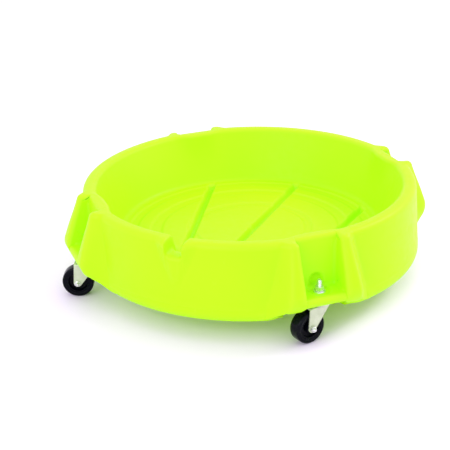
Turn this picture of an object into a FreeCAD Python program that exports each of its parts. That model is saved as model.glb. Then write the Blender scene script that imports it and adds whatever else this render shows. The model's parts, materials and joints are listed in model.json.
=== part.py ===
import FreeCAD, Part
import math
import os

# Drum dolly: a round, double-skinned polyethylene spill tray on four outboard stem casters.
# Millimetres, +Z up. The origin is on the ground under the tray's centre, and -Y is the spout side.
# A caster is drawn with its stem on the Z axis and its wheel trailing along +X, then turned and moved
# to its place. A block, pocket or wheel well is drawn on the +X side of the tray, then turned.

Vector = FreeCAD.Vector
ORIGIN = Vector(0, 0, 0)
UP = Vector(0, 0, 1)
ALONG_X = Vector(1, 0, 0)

# Tray
SKIN = 5.0
RIM_RADIUS = 392.0
RIM_TOP = 236.0
RIM_HALF_WIDTH = 15.0
FOOT_RADIUS = 418.0
FOOT_EDGE = 24.0
BASE_Z = 49.0
FLOOR_RADIUS = 324.0
FLOOR_Z = 105.0
FLOOR_FILLET = 14.0
VENT_RADIUS = 4.0

# Grooves in the drum floor: three rings, and three drains that fan out from the spout side
GROOVE_DEPTH = 7.0
RINGS = ((133.0, 160.0), (216.0, 252.0), (279.0, 308.0))    # inner and outer radius
DRAIN_WIDTH = 24.0
DRAIN_REACH = 314.0
DRAINS = ((-145.0, 106.0), (12.0, 91.2), (209.0, 85.7))    # X on the X axis, direction in degrees

# Caster blocks: half widths and reach at each level, from the rim down
STEM_CIRCLE = 410.0
BLOCK_LEVELS = (RIM_TOP, 176.0, 120.0, 98.0, 84.0)
BLOCK_REACH = (411.0, 437.0, 455.0, 451.0, 439.0)
BLOCK_RIDGE = (66.0, 75.5, 84.5, 88.0, 88.0)
BLOCK_ROOT = (74.0, 90.0, 105.0, 111.0, 115.0)
BLOCK_BACK = 385.0

# Pocket in each block, with the ledge that the caster hangs from
LEDGE_TOP = 115.0
NUT_SEAT = 112.0
LEDGE_UNDER = 93.0
POCKET_BACK = 393.0
POCKET_HALF_TOP = 49.0
POCKET_HALF_LEDGE = 47.0
POCKET_BULGE = 364.0
BULGE_HALF = 48.0
BULGE_NOSE = 24.0
BULGE_FOOT = 175.0
NICHE_RADIUS = 26.0
NICHE_HEIGHT = 34.0
BOSS_RADIUS = 20.0
STEM_HOLE = 6.5

# Wheel well under each block
WELL_RADIUS = 80.0
WELL_TOP = 83.0
NECK_HALF = 50.0

# Pouring spout
SPOUT_REACH = 422.0
SPOUT_LEVELS = (RIM_TOP, 201.0, 131.0)
SPOUT_TIPS = (SPOUT_REACH, 417.0, 412.0)
SPOUT_NOSE = (24.0, 17.0, 2.0)
SPOUT_ROOT = (44.0, 32.0, 6.0)
NOTCH_RADIUS = 20.0
NOTCH_BOTTOM = 200.0

# Caster
WHEEL_RADIUS = 38.0
TYRE_HALF_WIDTH = 15.0
TYRE_INNER = 27.0
TYRE_SHOULDER = 5.0
HUB_HALF_WIDTH = 16.0
HUB_RADIUS = 12.0
CORE_HALF_WIDTH = 13.5
CORE_INNER = 22.5
WEB_HALF_WIDTH = 4.0
TRAIL = 34.0
SLEEVE_RADIUS = 6.0
FORK_GAP = 33.0
FORK_SHEET = 2.5
FORK_END = 9.5
CROWN_TOP = 86.3
CROWN_SHEET = 3.0
CROWN_LEAD = -24.0
CROWN_TRAIL = 40.0
CROWN_CORNER = 10.0
CROWN_BEND = 3.0
CROWN_HOLE = 6.6
LEG_LEAD = -14.0

# Swivel head
CAP_RADIUS = 27.0
CAP_SHEET = 2.7
CAP_SKIRT = 86.9
CAP_WALL = 2.0
BALL_RADIUS = 2.4
TRACK_RADIUS = 2.5
BALL_SEAT = 0.4
UPPER_RING = 18.0
UPPER_COUNT = 18
LOWER_RING = 11.0
LOWER_COUNT = 12
LOWER_RACE_RADIUS = 15.0
LOWER_RACE_SHEET = 2.5

# Fasteners
STEM_RADIUS = 6.0
STEM_TOP = 140.0
STEM_CHAMFER = 1.5
COLLAR_RADIUS = 9.0
COLLAR_HEIGHT = 2.5
RIVET_HEIGHT = 3.3
STEM_NUT_FLATS = 18.0
STEM_NUT_HEIGHT = 10.8
STEM_WASHER_RADIUS = 14.0
STEM_WASHER_SHEET = 2.5
BOLT_RADIUS = 4.0
BOLT_FLATS = 13.0
BOLT_HEAD_HEIGHT = 5.3
AXLE_NUT_HEIGHT = 8.0
BOLT_END = 2.5
FIT = 0.05
EASY = 0.1

# Each caster's place round the tray and the way that its wheel trails, in degrees
CASTERS = {
    "front_right": (-45.0, -121.0),
    "front_left": (-135.0, -156.0),
    "rear_left": (135.0, -150.0),
    "rear_right": (45.0, -130.0),
}

AXLE_Z = WHEEL_RADIUS
FORK_OUTER = FORK_GAP / 2 + FORK_SHEET
CROWN_UNDER = CROWN_TOP - CROWN_SHEET
UPPER_BALL_Z = CROWN_TOP - BALL_SEAT + BALL_RADIUS
LOWER_BALL_Z = CROWN_UNDER + BALL_SEAT - BALL_RADIUS
CAP_UNDER = LEDGE_UNDER - CAP_SHEET
LOWER_RACE_TOP = LOWER_BALL_Z - BALL_RADIUS + BALL_SEAT
LOWER_RACE_UNDER = LOWER_RACE_TOP - LOWER_RACE_SHEET
NUT_UNDER = NUT_SEAT + STEM_WASHER_SHEET


def turned(shape, angle):
    """The shape turned about the Z axis."""
    copy = shape.copy()
    copy.rotate(ORIGIN, UP, angle)
    return copy


def fused(shapes):
    """All the shapes as one."""
    whole = shapes[0].multiFuse(shapes[1:]) if len(shapes) > 1 else shapes[0]
    return whole.removeSplitter()


def bar(low, high):
    """A block between two corners."""
    size = [b - a for a, b in zip(low, high)]
    return Part.makeBox(*size, Vector(*low))


def drum(radius, low, high, x=0.0):
    """An upright cylinder between two levels."""
    return Part.makeCylinder(radius, high - low, Vector(x, 0, low), UP)


def ring(outer, inner, low, high):
    """An upright tube between two levels."""
    return drum(outer, low, high).cut(drum(inner, low - 1, high + 1))


def rounded_corner(before, corner, after, radius):
    """Where a rounded corner starts, its middle and where it ends."""
    into = (corner - before).normalize()
    out = (after - corner).normalize()
    half_turn = into.getAngle(out) / 2
    back = radius * math.tan(half_turn)
    inward = (out - into).normalize()
    middle = corner + inward * (radius / math.cos(half_turn) - radius)
    return corner - into * back, middle, corner + out * back


def rounded_wire(corners):
    """A closed wire in the XZ plane through (x, z, corner radius)."""
    points = [Vector(x, 0, z) for x, z, radius in corners]
    starts, arcs = [], []
    for index, (x, z, radius) in enumerate(corners):
        after = points[(index + 1) % len(points)]
        stops = [points[index]] * 3
        if radius:
            stops = rounded_corner(points[index - 1], points[index], after, radius)
            arcs.append(Part.Arc(*stops).toShape())
        starts.append((stops[0], stops[2]))
    lines = []
    for index, (start, end) in enumerate(starts):
        reach = starts[(index + 1) % len(starts)][0]
        lines.append(Part.LineSegment(end, reach).toShape())
    return Part.Wire(Part.sortEdges(lines + arcs)[0])


def revolved(corners):
    """The solid that a half section sweeps about the Z axis."""
    return Part.Face(rounded_wire(corners)).revolve(ORIGIN, UP, 360)


def lofted(sections):
    """A solid through flat sections, each a level and its (x, y) corners."""
    wires = []
    for level, corners in sections:
        wires.append(Part.makePolygon([Vector(x, y, level) for x, y in corners + corners[:1]]))
    return Part.makeLoft(wires, True, True)


def trapezium(back, back_half, front, front_half):
    """A section that narrows from its back to its front."""
    return [(back, -back_half), (front, -front_half), (front, front_half), (back, back_half)]


def hexagon(flats, low, high):
    """A hexagonal prism on the Z axis."""
    corner = flats / math.sqrt(3)
    points = [Vector(corner, 0, low)]
    for step in range(1, 7):
        turn = math.radians(60 * step)
        points.append(Vector(corner * math.cos(turn), corner * math.sin(turn), low))
    return Part.Face(Part.makePolygon(points)).extrude(Vector(0, 0, high - low))


def bowl_body(inset):
    """The round double-walled body. With an inset it is the hollow inside the skin."""
    floor = FLOOR_Z if inset == 0 else FLOOR_Z - GROOVE_DEPTH - inset
    half = RIM_HALF_WIDTH - inset
    return revolved([
        (0, BASE_Z + inset, 0),
        (FOOT_RADIUS - inset, BASE_Z + inset, FOOT_EDGE - inset),
        (RIM_RADIUS + half, RIM_TOP - inset, half),
        (RIM_RADIUS - half, RIM_TOP - inset, half),
        (FLOOR_RADIUS + inset, floor, FLOOR_FILLET + inset),
        (0, floor, 0),
    ])


def caster_block(inset):
    """The flared block round a caster's pocket."""
    sections = []
    for level, reach, ridge, root in zip(BLOCK_LEVELS, BLOCK_REACH, BLOCK_RIDGE, BLOCK_ROOT):
        shape = trapezium(BLOCK_BACK, root - inset, reach - inset, ridge - inset)
        sections.append((level, shape))
    block = lofted(sections)
    top, foot = BLOCK_LEVELS[0] - inset, BLOCK_LEVELS[-1] + inset
    return block.common(bar((0, -FOOT_RADIUS, foot), (2 * FOOT_RADIUS, FOOT_RADIUS, top)))


def pocket_bulge(inset):
    """The rim's inward bend behind a pocket."""
    wall_slope = (RIM_RADIUS - RIM_HALF_WIDTH - FLOOR_RADIUS) / (RIM_TOP - FLOOR_Z)
    foot = FLOOR_RADIUS + wall_slope * (BULGE_FOOT - FLOOR_Z)
    half = BULGE_HALF - inset
    nose = BULGE_NOSE - inset
    top = trapezium(BLOCK_BACK, half, POCKET_BULGE + inset, nose)
    low = trapezium(BLOCK_BACK, half, foot + inset, nose)
    return lofted([(BULGE_FOOT, low), (RIM_TOP - inset, top)])


def pocket(inset):
    """The space above a ledge, open outwards and upwards, with its wrench niche."""
    back, outside = POCKET_BACK - inset, STEM_CIRCLE * 2
    low_half, top_half = POCKET_HALF_LEDGE + inset, POCKET_HALF_TOP + inset
    low = trapezium(back, low_half, outside, low_half)
    top = trapezium(back, top_half, outside, top_half)
    space = lofted([(LEDGE_TOP - inset, low), (RIM_TOP + SKIN, top)])
    niche_top = NUT_SEAT + NICHE_HEIGHT + inset
    niche = drum(NICHE_RADIUS + inset, NUT_SEAT - inset, niche_top, STEM_CIRCLE)
    return space.fuse(niche)


def wheel_well(inset):
    """The space that a caster swivels in: wide for its wheel, with a higher neck for its fork."""
    spaces = []
    for radius, ceiling in ((WELL_RADIUS, WELL_TOP), (NECK_HALF, LEDGE_UNDER)):
        low, top, half = BASE_Z - SKIN, ceiling + inset, radius + inset
        spaces.append(drum(half, low, top, STEM_CIRCLE))
        spaces.append(bar((STEM_CIRCLE, -half, low), (STEM_CIRCLE * 2, half, top)))
    return spaces[0].fuse(spaces[1:])


def spout_beak(inset):
    """The lip pushed out of the wall under the pouring notch."""
    sections = []
    for level, tip, nose, root in zip(SPOUT_LEVELS, SPOUT_TIPS, SPOUT_NOSE, SPOUT_ROOT):
        shape = trapezium(BLOCK_BACK, max(root - inset, 1), tip - inset, max(nose - inset, 0.5))
        sections.append((level, shape))
    beak = lofted(sections)
    return beak.common(drum(STEM_CIRCLE * 2, BASE_Z, RIM_TOP - inset))


def spout_notch(inset):
    """The rounded channel through the rim."""
    middle = NOTCH_BOTTOM + NOTCH_RADIUS
    inside, outside = RIM_RADIUS / 2, RIM_RADIUS * 1.5
    half = NOTCH_RADIUS + inset
    channel = Part.makeCylinder(half, outside - inside, Vector(inside, 0, middle), ALONG_X)
    return channel.fuse(bar((inside, -half, middle), (outside, half, RIM_TOP + SKIN)))


def tray_form(inset):
    """The tray's outside, or with an inset the hollow between its skins."""
    places = [angle for angle, heading in CASTERS.values()]
    solids = [bowl_body(inset), turned(spout_beak(inset), -90)]
    spaces = [turned(spout_notch(inset), -90)]
    for angle in places:
        solids += [turned(caster_block(inset), angle), turned(pocket_bulge(inset), angle)]
        spaces += [turned(pocket(inset), angle), turned(wheel_well(inset), angle)]
    form = solids[0].multiFuse(solids[1:])
    return form.cut(spaces)


def floor_grooves():
    """The ring grooves and the straight drains of the drum floor."""
    low, high = FLOOR_Z - GROOVE_DEPTH, FLOOR_Z + SKIN
    grooves = []
    for inner, outer in RINGS:
        grooves.append(ring(outer, inner, low, high))
    disc = drum(DRAIN_REACH, low, high)
    for place, direction in DRAINS:
        half = DRAIN_WIDTH / 2
        channel = bar((-FOOT_RADIUS, -half, low), (FOOT_RADIUS, half, high))
        channel = turned(channel, direction)
        channel.translate(Vector(place, 0, 0))
        grooves.append(channel.common(disc))
    return grooves


def tray():
    """The whole tray: outside, less the hollow, the holes and the floor grooves."""
    hollow = tray_form(SKIN)
    bosses = []
    holes = [drum(VENT_RADIUS, BASE_Z - SKIN, BASE_Z + 2 * SKIN)]
    for angle, heading in CASTERS.values():
        bosses.append(turned(drum(BOSS_RADIUS, BASE_Z, RIM_TOP, STEM_CIRCLE), angle))
        holes.append(turned(drum(STEM_HOLE, BASE_Z, RIM_TOP, STEM_CIRCLE), angle))
    hollow = hollow.cut(bosses)
    return tray_form(0).cut([hollow] + holes + floor_grooves())


def stem():
    """Threaded stem and kingpin in one, with a collar under the cap and a riveted foot."""
    foot = LOWER_RACE_UNDER - RIVET_HEIGHT
    return revolved([
        (0, foot, 0),
        (COLLAR_RADIUS, foot, RIVET_HEIGHT * 0.9),
        (COLLAR_RADIUS, LOWER_RACE_UNDER, 0),
        (STEM_RADIUS, LOWER_RACE_UNDER, 0),
        (STEM_RADIUS, CAP_UNDER - COLLAR_HEIGHT, 0),
        (COLLAR_RADIUS, CAP_UNDER - COLLAR_HEIGHT, 0),
        (COLLAR_RADIUS, CAP_UNDER, 0),
        (STEM_RADIUS, CAP_UNDER, 0),
        (STEM_RADIUS, STEM_TOP - STEM_CHAMFER, 0),
        (STEM_RADIUS - STEM_CHAMFER, STEM_TOP, 0),
        (0, STEM_TOP, 0),
    ])


def ball_track(ring_radius, level):
    """The round track that a ring of balls leaves in a plate."""
    return Part.makeTorus(ring_radius, TRACK_RADIUS, Vector(0, 0, level), UP)


def balls(ring_radius, level, count):
    """A full ring of bearing balls."""
    ball = Part.makeSphere(BALL_RADIUS, Vector(ring_radius, 0, level))
    return Part.makeCompound([turned(ball, 360 * step / count) for step in range(count)])


def cap():
    """Upper race: a shallow pressed cap, clamped between the ledge and the stem's collar."""
    hole = STEM_RADIUS + EASY
    inner = CAP_RADIUS - CAP_WALL
    shell = revolved([
        (hole, LEDGE_UNDER, 0),
        (CAP_RADIUS, LEDGE_UNDER, CAP_SHEET),
        (CAP_RADIUS, CAP_SKIRT, 0),
        (inner, CAP_SKIRT, 0),
        (inner, CAP_UNDER, 0),
        (hole, CAP_UNDER, 0),
    ])
    return shell.cut(ball_track(UPPER_RING, UPPER_BALL_Z))


def lower_race():
    """The washer that carries the lower ring of balls."""
    disc = ring(LOWER_RACE_RADIUS, STEM_RADIUS + EASY, LOWER_RACE_UNDER, LOWER_RACE_TOP)
    return disc.cut(ball_track(LOWER_RING, LOWER_BALL_Z))


def touch_point(point, centre, radius, side):
    """Where a line from a point touches a circle in the XZ plane."""
    away = point - centre
    base = math.atan2(away.z, away.x)
    swing = side * math.acos(radius / away.Length)
    return centre + Vector(math.cos(base + swing), 0, math.sin(base + swing)) * radius


def fork_side():
    """The fork's outline from the side: its crown, and a leg that tapers to the axle."""
    axle = Vector(TRAIL, 0, AXLE_Z)
    lead, trail = Vector(LEG_LEAD, 0, CROWN_UNDER), Vector(CROWN_TRAIL, 0, CROWN_UNDER)
    touch_lead = touch_point(lead, axle, FORK_END, 1)
    touch_trail = touch_point(trail, axle, FORK_END, -1)
    end = Part.Arc(touch_lead, axle - UP * FORK_END, touch_trail).toShape()
    top = Part.makePolygon([
        touch_trail,
        trail,
        Vector(CROWN_TRAIL, 0, CROWN_TOP),
        Vector(CROWN_LEAD, 0, CROWN_TOP),
        Vector(CROWN_LEAD, 0, CROWN_UNDER),
        lead,
        touch_lead,
    ])
    side = Part.Face(Part.Wire([end] + top.Edges)).extrude(Vector(0, FORK_GAP * 2, 0))
    side.translate(Vector(0, -FORK_GAP, 0))
    return side


def fork_channel():
    """The bent channel that the fork is cut from, with its bends and leading corners rounded."""
    end = TRAIL + FORK_END * 2
    channel = bar((CROWN_LEAD, -FORK_OUTER, 0), (end, FORK_OUTER, CROWN_TOP))
    bends = [edge for edge in channel.Edges if edge.Length > end and edge.CenterOfMass.z > AXLE_Z]
    channel = channel.makeFillet(CROWN_BEND, bends)
    inner = FORK_GAP / 2
    channel = channel.cut(bar((-end, -inner, -1), (end + 1, inner, CROWN_UNDER)))
    plan = bar((CROWN_LEAD, -FORK_OUTER, 0), (end, FORK_OUTER, CROWN_TOP))
    upright = [edge for edge in plan.Edges if abs(edge.Length - CROWN_TOP) < EASY]
    corners = [edge for edge in upright if edge.CenterOfMass.x < 0]
    return channel.common(plan.makeFillet(CROWN_CORNER, corners))


def fork():
    """The bent sheet fork, with its ball tracks and its holes."""
    axle_hole = Part.makeCylinder(
        BOLT_RADIUS + EASY, FORK_GAP * 2, Vector(TRAIL, -FORK_GAP, AXLE_Z), Vector(0, 1, 0)
    )
    return fork_channel().common(fork_side()).cut([
        drum(CROWN_HOLE, 0, LEDGE_TOP),
        axle_hole,
        ball_track(UPPER_RING, UPPER_BALL_Z),
        ball_track(LOWER_RING, LOWER_BALL_Z),
    ])


def on_axle(shape):
    """A part drawn about Z, laid along the axle with its +Z towards +Y."""
    copy = shape.copy()
    copy.rotate(ORIGIN, ALONG_X, -90)
    copy.translate(Vector(TRAIL, 0, AXLE_Z))
    return copy


def tyre():
    """The rubber tyre, with rounded shoulders."""
    half = TYRE_HALF_WIDTH
    return on_axle(revolved([
        (TYRE_INNER, -half, 0),
        (WHEEL_RADIUS, -half, TYRE_SHOULDER),
        (WHEEL_RADIUS, half, TYRE_SHOULDER),
        (TYRE_INNER, half, 0),
    ]))


def wheel_core():
    """The moulded wheel centre: rim, web and hub."""
    bore = SLEEVE_RADIUS + FIT
    return on_axle(revolved([
        (bore, -HUB_HALF_WIDTH, 0),
        (HUB_RADIUS, -HUB_HALF_WIDTH, 1),
        (HUB_RADIUS, -WEB_HALF_WIDTH, 1),
        (CORE_INNER, -WEB_HALF_WIDTH, 1),
        (CORE_INNER, -CORE_HALF_WIDTH, 1),
        (TYRE_INNER, -CORE_HALF_WIDTH, 0),
        (TYRE_INNER, CORE_HALF_WIDTH, 0),
        (CORE_INNER, CORE_HALF_WIDTH, 1),
        (CORE_INNER, WEB_HALF_WIDTH, 1),
        (HUB_RADIUS, WEB_HALF_WIDTH, 1),
        (HUB_RADIUS, HUB_HALF_WIDTH, 1),
        (bore, HUB_HALF_WIDTH, 0),
    ]))


def axle_sleeve():
    """The tube that the wheel turns on, clamped between the fork's legs."""
    half = FORK_GAP / 2
    return on_axle(ring(SLEEVE_RADIUS, BOLT_RADIUS + EASY, -half, half))


def axle_bolt():
    """Hexagon bolt through the fork and the sleeve."""
    end = FORK_OUTER + AXLE_NUT_HEIGHT + BOLT_END
    head = hexagon(BOLT_FLATS, -FORK_OUTER - BOLT_HEAD_HEIGHT, -FORK_OUTER)
    return on_axle(fused([head, drum(BOLT_RADIUS, -FORK_OUTER, end)]))


def axle_nut():
    """Lock nut on the axle bolt, with a round collar."""
    face, end = FORK_OUTER, FORK_OUTER + AXLE_NUT_HEIGHT
    collar = end - AXLE_NUT_HEIGHT / 4
    body = fused([hexagon(BOLT_FLATS, face, collar), drum(BOLT_FLATS / 2 - 0.5, face, end)])
    return on_axle(body.cut(drum(BOLT_RADIUS + FIT, 0, end + 1)))


def stem_nut():
    """Nut that holds a caster on its ledge."""
    top = NUT_UNDER + STEM_NUT_HEIGHT
    return hexagon(STEM_NUT_FLATS, NUT_UNDER, top).cut(drum(STEM_RADIUS + FIT, 0, RIM_TOP))


def stem_washer():
    """Flat washer between a stem nut and its ledge."""
    return ring(STEM_WASHER_RADIUS, STEM_HOLE, NUT_SEAT, NUT_UNDER)


def placed(shape, angle, heading):
    """A caster part turned to its heading and moved to its place on the stem circle."""
    copy = turned(shape, heading)
    turn = math.radians(angle)
    copy.translate(Vector(STEM_CIRCLE * math.cos(turn), STEM_CIRCLE * math.sin(turn), 0))
    return copy


def write(name, shape):
    """Check one node and write its solids."""
    if not shape.isValid():
        raise ValueError(name + " is not a valid shape")
    solids = shape.Solids
    node = solids[0] if len(solids) == 1 else Part.makeCompound(solids)
    node.exportStep(os.path.join("parts", name + ".step"))
    print(name, len(solids), "solid(s),", round(shape.Volume / 1000, 2), "cm3")


def main():
    os.makedirs("parts", exist_ok=True)
    write("tray", tray())
    for name, part in (("stem_nuts", stem_nut()), ("stem_washers", stem_washer())):
        write(name, Part.makeCompound([placed(part, *place) for place in CASTERS.values()]))
    caster_parts = {
        "stem": stem(),
        "cap": cap(),
        "upper_balls": balls(UPPER_RING, UPPER_BALL_Z, UPPER_COUNT),
        "lower_balls": balls(LOWER_RING, LOWER_BALL_Z, LOWER_COUNT),
        "lower_race": lower_race(),
        "fork": fork(),
        "axle_bolt": axle_bolt(),
        "axle_nut": axle_nut(),
        "axle_sleeve": axle_sleeve(),
        "wheel_core": wheel_core(),
        "tyre": tyre(),
    }
    for caster, place in CASTERS.items():
        for name, part in caster_parts.items():
            write(caster + "_" + name, placed(part, *place))


main()
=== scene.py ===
import bmesh
import bpy
import json
import math
import numpy as np
from mathutils import Matrix, Vector

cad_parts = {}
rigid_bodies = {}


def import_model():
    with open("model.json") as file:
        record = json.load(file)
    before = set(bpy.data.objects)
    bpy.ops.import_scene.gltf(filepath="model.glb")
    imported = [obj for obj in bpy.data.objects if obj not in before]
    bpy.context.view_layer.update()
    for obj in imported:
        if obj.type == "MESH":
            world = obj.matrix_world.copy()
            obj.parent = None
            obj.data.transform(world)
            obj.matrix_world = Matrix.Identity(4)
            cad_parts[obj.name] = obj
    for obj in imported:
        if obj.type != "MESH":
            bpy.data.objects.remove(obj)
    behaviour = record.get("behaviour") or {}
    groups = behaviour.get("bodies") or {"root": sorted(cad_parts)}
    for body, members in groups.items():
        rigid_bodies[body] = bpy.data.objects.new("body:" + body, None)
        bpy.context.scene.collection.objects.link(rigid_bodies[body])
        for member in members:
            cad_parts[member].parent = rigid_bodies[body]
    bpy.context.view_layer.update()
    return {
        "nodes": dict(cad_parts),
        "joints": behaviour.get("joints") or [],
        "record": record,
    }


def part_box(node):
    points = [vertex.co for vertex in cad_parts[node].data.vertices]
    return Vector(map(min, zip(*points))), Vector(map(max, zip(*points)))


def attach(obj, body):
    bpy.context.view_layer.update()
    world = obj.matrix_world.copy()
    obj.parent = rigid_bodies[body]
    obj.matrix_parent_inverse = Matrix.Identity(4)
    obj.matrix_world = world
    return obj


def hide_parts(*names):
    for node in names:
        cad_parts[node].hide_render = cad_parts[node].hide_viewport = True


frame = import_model()

# The drum dolly's looks, in millimetres until a mesh is made. The tray is one closed skin. Its columns go
# round the rim, and its rows run from the middle of the floor, up the wall, over the rim, down the outside
# and back under to the middle. Each caster block is drawn in its own frame, with X outwards.
MM = 0.001

# Rim and wall
RIM_RADIUS = 392.0
RIM_HALF = 15.0
FLOOR_RADIUS = 324.0
FLOOR_FILLET = 14.0
FOOT_RADIUS = 418.0
FOOT_EDGE = 24.0
SHOULDER_DROP, SHOULDER_ROUND = 30.0, 12.5
INNER_ROUND, INNER_ROUND_MORE = 9.0, 4.0
INNER_ROUND_FROM, INNER_ROUND_SPREAD = 47.0, 25.0
BASE_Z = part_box("tray")[0][2] / MM
RIM_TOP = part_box("tray")[1][2] / MM
FLOOR_Z = frame["record"]["mounts"][0]["pos_m"][2] / MM

# Grooves in the floor
GROOVE_DEPTH = 2.6
DRAIN_DEPTH = 14.0
DRAIN_SIDE = 9.0
GROOVE_SIDE = 7.0
RINGS = ((133.0, 160.0), (216.0, 252.0), (279.0, 308.0))
DRAINS = ((-145.0, 106.0), (12.0, 91.2), (209.0, 85.7))    # X on the X axis, direction in degrees
DRAIN_HALF = 12.0
DRAIN_REACH = 314.0

# Caster blocks, pockets and wheel wells
FACE_LEVELS = (60.0, 84.0, 98.0, 120.0, 176.0, 220.0, 260.0)
FACE_REACH = (425.0, 439.0, 451.0, 456.0, 437.0, 419.0, 402.0)
FACE_SOFTNESS, BELL_REACH = 7, 20
RIDGE_TOP, RIDGE_SPREAD, RIDGE_MOST = 70.0, 0.14, 90.0
ROOT_TOP, ROOT_SPREAD = 80.0, 0.26
RIDGE_ROUND, ROOT_ROUND = 25.0, 32.0
BLOCK_BACK = 385.0
BLOCK_FOOT = 84.0
ROOT_FOOT = 58.0
APRON_TOP, APRON_FOOT = 104.0, 4.0
FACE_FOOT = APRON_TOP + 1.0
POCKET_HALF = 49.0
POCKET_NARROWING = 0.0165
POCKET_RIM = 392.0
POCKET_BACK = 393.0
POCKET_FILLET = 8.0
LIP_ROUND = 9.0
FILLET_PAST, LIP_PAST = 1.5, 2.5
POCKET_RIM_ROUND, HEEL_ROUND, LEDGE_ROUND = 7.0, 8.0, 10.0
EDGE_EASE, EDGE_FOOT = 12.0, 108.0
LEDGE_Z = 115.0
NUT_SEAT = 112.0
LIP_REACH = 455.0
BULGE_REACH = 364.0
BULGE_FOOT = 175.0
BULGE_SPREAD, BULGE_FLAT = 76.0, 1.3
BULGE_EASE = 34.0
NICHE_RADIUS = 26.0
NICHE_HEIGHT = 34.0
NICHE_WIDER, NICHE_EASE, NICHE_SKIN = 2.0, 9.0, 3.0
SEAT_SKIN, SEAT_CLEAR, SEAT_EASE = 1.0, 8.0, 4.0
STEM_CIRCLE = 410.0
WELL_RADIUS = 80.0
WELL_SWING = 72.0
WELL_CORNER = 36.0
WELL_EDGE, WELL_HEEL = 5.0, 6.0
FOOT_ROUND = 5.0
LEAST_LEDGE, FOOT_GAP = 0.5, 0.2
NECK_TOP = 93.0
NECK_HALF, NECK_EASE = 50.0, 12.0
SECTOR_HALF = 130.0
FAN_FROM = 85.0
EVEN_FROM, EVEN_SPREAD = 72.0, 50.0

# Casters
WHEEL_RADIUS = 38.0
TYRE_HALF = 15.0
TYRE_SHOULDER = 5.0
TRAIL = 34.0
FORK_OUTER = 19.0
STEM_RADIUS, STEM_TOP = 6.0, 140.0
NUT_FLATS, NUT_HEIGHT = 18.0, 10.8
WASHER_SHEET = 2.5
BOLT_RADIUS, BOLT_FLATS, BOLT_END = 4.0, 13.0, 29.5
BOLT_HEAD, BOLT_SHANK_PAST = 5.3, 1.0
STEM_PITCH, STEM_THREAD = 1.75, 0.75
BOLT_PITCH, BOLT_THREAD = 1.25, 0.5
LOCK_NUT_HEIGHT, LOCK_NUT_BORE = 6.0, 4.2
THREAD_ROWS, THREAD_START, THREAD_RUN_OUT = 6, 0.4, 0.7
HEX_FACE, HEX_DROP, BORE_CHAMFER = 0.95, 0.58, 0.9
SHARP_EDGE = 38

# Finish
TRAY_LIME, TRAY_DEEP = (0.385, 0.77, 0.0022), (0.37, 0.76, 0.0018)
# The third colour on the next line is a darker green that paints shade into the tray's creases and drains.
TRAY_SPECK, TRAY_WORN, TRAY_PAINTED_SHADE = (0.44, 0.78, 0.03), (0.47, 0.80, 0.05), (0.28, 0.66, 0.002)
# A painted glow: the tray gives off its own colour as light, which lifts its shade.
TRAY_PAINTED_GLOW = 0.22
# The bend that gives full wear, the bend that gives full painted shade, and the most bend counted.
BEND_WORN, BEND_PAINTED_SHADE, BEND_MOST = 0.09, 0.18, 0.2
BEND_LEAST_SPAN, BEND_FULL_SPAN, BEND_SMOOTHING = 0.3, 2.5, 3
ZINC_PALE, ZINC_DULL, ZINC_LINE = (0.62, 0.67, 0.50), (0.50, 0.56, 0.38), (0.93, 0.93, 0.90)
BEARING_PALE, BEARING_DULL = (0.74, 0.74, 0.76), (0.55, 0.54, 0.52)
FASTENER_PALE, FASTENER_DULL = (0.86, 0.87, 0.84), (0.70, 0.71, 0.68)
PLASTIC_DEEP, PLASTIC_DUSTY = (0.0015, 0.002, 0.004), (0.006, 0.007, 0.010)
RUBBER_DEEP, RUBBER_DUSTY = (0.0018, 0.0025, 0.0045), (0.006, 0.008, 0.011)
BLACK_COAT = 0.06
FLOOR_PALE, FLOOR_PALER = (0.86, 0.75, 0.92), (0.88, 0.77, 0.94)
SKY, SKY_STRENGTH = (0.95, 0.97, 1.0, 1.0), 1.24

# Pouring spout
SPOUT_ANGLE = -90.0
NOTCH_HALF = 20.0
NOTCH_ROUND = 12.0
NOTCH_BOTTOM = 200.0
NOTCH_REACH = 146.0
NOTCH_SLIM, SLIM_RISE, SLIM_HALF, SLIM_EASE = 5.0, 40.0, 14.0, 10.0
NOTCH_LIP, NOTCH_LIP_END = 7.0, 8.0
NOTCH_SLOPE = 14.0
NOTCH_EDGE, NOTCH_STEEP = 0.3, 1.0
BEAK_FOOT = 128.0
BEAK_OUT = 16.0
BEAK_NOSE, BEAK_NOSE_MORE = 1.0, 15.0
BEAK_ROOT, BEAK_ROOT_MORE = 12.0, 46.0
SPOUT_NEAR, SPOUT_SPREAD = 0.8, 60

# Steps: every column has the same number of points in each stretch
ARC = 5
LIFT_STEPS = 9
FLAT_STEPS = 4
FACE_STEPS = 14
LEDGE_STEPS = 16
APRON_STEPS, APRON_STOPS = 3, 4
CEILING_STEPS = 7
WELL_STEPS = 4
BASE_STEPS = 5
FACE_ROWS = FACE_STEPS * 2 + ARC + LEDGE_STEPS + ARC
UNDER_ROWS = APRON_STEPS + ARC + CEILING_STEPS + ARC + WELL_STEPS + ARC
FADE_IN, FADE_OUT = 4.0, 3.0
POCKET_COLUMNS, GAP_COLUMNS, SPOUT_GAP_COLUMNS = 13, 68, 26
FACE_COLUMNS = (61.0, 63.0, 65.0, 67.0, 68.6, RIDGE_TOP)
FLANK_COLUMNS = (0.4, 1.2, 2.2, 3.4, 4.8, 6.2, 7.7, 9.3, 11.2, 13.6, 16.6, 20.4, 25.0)
WALL_FROM, WALL_COLUMNS = 100.0, 8
SPOUT_COLUMNS = (0.0, 0.4, 0.8, 1.3, 2.0, 3.2, 4.8, 6.5, 8.2, 10.0, 12.0, 15.5, 19.0, 23.0, 27.5, 32.0, 37.0)
INNER_EVENING = 12
FLOOR_MIDDLE, FLOOR_SPACING, GROOVE_STEPS = 5.0, 3.6, 3
STEPS_ROUND = 60
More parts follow.
